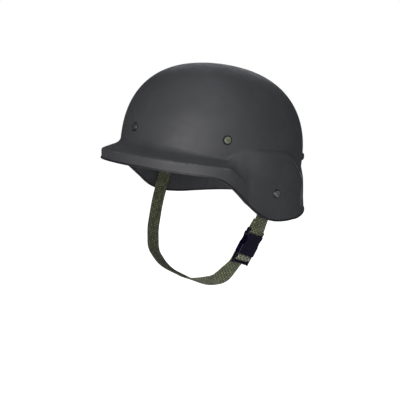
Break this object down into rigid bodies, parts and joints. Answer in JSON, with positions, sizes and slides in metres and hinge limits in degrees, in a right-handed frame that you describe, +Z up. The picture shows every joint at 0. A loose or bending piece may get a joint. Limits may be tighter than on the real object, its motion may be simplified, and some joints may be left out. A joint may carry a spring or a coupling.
{
  "type": "tactical helmet",
  "caption": "Matte moulded helmet shell with a short visor, raised ear flaps, slotted shell screws, a riveted webbing liner and a buckled chin strap.",
  "frame": {"origin": "centre of the head opening, level with the headband, where the wearer's head sits", "axes": "+Z up through the crown, the brow and visor face -Y, the wearer's left side and the buckle are on +X"},
  "size_m": [0.2346, 0.2889, 0.2841],
  "materials": {
    "shell_plastic": "fine matte, moulded in charcoal grey",
    "edge_rubber": "matte black",
    "black_metal": "black, semi gloss",
    "olive_metal": "olive grey, satin",
    "steel": "zinc plated",
    "olive_webbing": "coarse olive weave",
    "olive_cord": "braided",
    "brown_leather": "smooth",
    "hook_tape": "hook and loop",
    "black_foam": "foam pad, matte",
    "buckle_plastic": "glossy black"
  },
  "bodies": {
    "helmet": {"shell": "shell_plastic", "edge_trim": "edge_rubber", "cup_washers": "black_metal", "front_screw": "black_metal", "side_screws": "olive_metal", "rear_screws": "black_metal", "ear_screws": "black_metal", "liner_nuts": "steel", "ear_nuts": "steel", "hanger_plates": "steel", "band_rivets": "steel", "web_band": "olive_webbing", "sweatband": "brown_leather", "sweatband_clips": "steel", "size_tab": "hook_tape", "cradle_straps": "olive_webbing", "crown_cord": "olive_cord", "crown_pad": "black_foam"},
    "chin_strap": {"chin_strap": "olive_webbing", "right_eyelet": "black_metal"},
    "left_strap": {"left_strap": "olive_webbing", "left_eyelet": "black_metal", "buckle_housing": "buckle_plastic"},
    "plug": {"buckle_plug": "buckle_plastic", "plug_webbing": "olive_webbing"},
    "prong_front": {"prong_front": "buckle_plastic"},
    "prong_rear": {"prong_rear": "buckle_plastic"}
  },
  "joints": [
    {"name": "strap_swing", "type": "hinge", "parent": "helmet", "child": "chin_strap", "pos_m": [0, 0.0064, -0.0343], "axis": [1, 0, 0], "range_deg": [-60, 40]},
    {"name": "left_strap_swing", "type": "hinge", "parent": "helmet", "child": "left_strap", "pos_m": [0, 0.0064, -0.0343], "axis": [1, 0, 0], "range_deg": [-60, 40]},
    {"name": "buckle_slide", "type": "slide", "parent": "chin_strap", "child": "plug", "axis": [-0.1908, -0.2952, -0.9362], "range_m": [0, 0.024], "deforming": ["prong_front", "prong_rear"]},
    {"name": "prong_front_squeeze", "type": "hinge", "parent": "plug", "child": "prong_front", "pos_m": [0.0976, -0.02624, -0.10556], "axis": [-0.9816, 0.0574, 0.182], "range_deg": [0, 8], "stiffness_Nm_per_rad": 0.4},
    {"name": "prong_rear_squeeze", "type": "hinge", "parent": "plug", "child": "prong_rear", "pos_m": [0.0976, -0.00774, -0.1114], "axis": [0.9816, -0.0574, -0.182], "range_deg": [0, 8], "stiffness_Nm_per_rad": 0.4}
  ],
  "couplings": [
    {"joint": "left_strap_swing", "follows": "strap_swing", "ratio": 1}
  ]
}
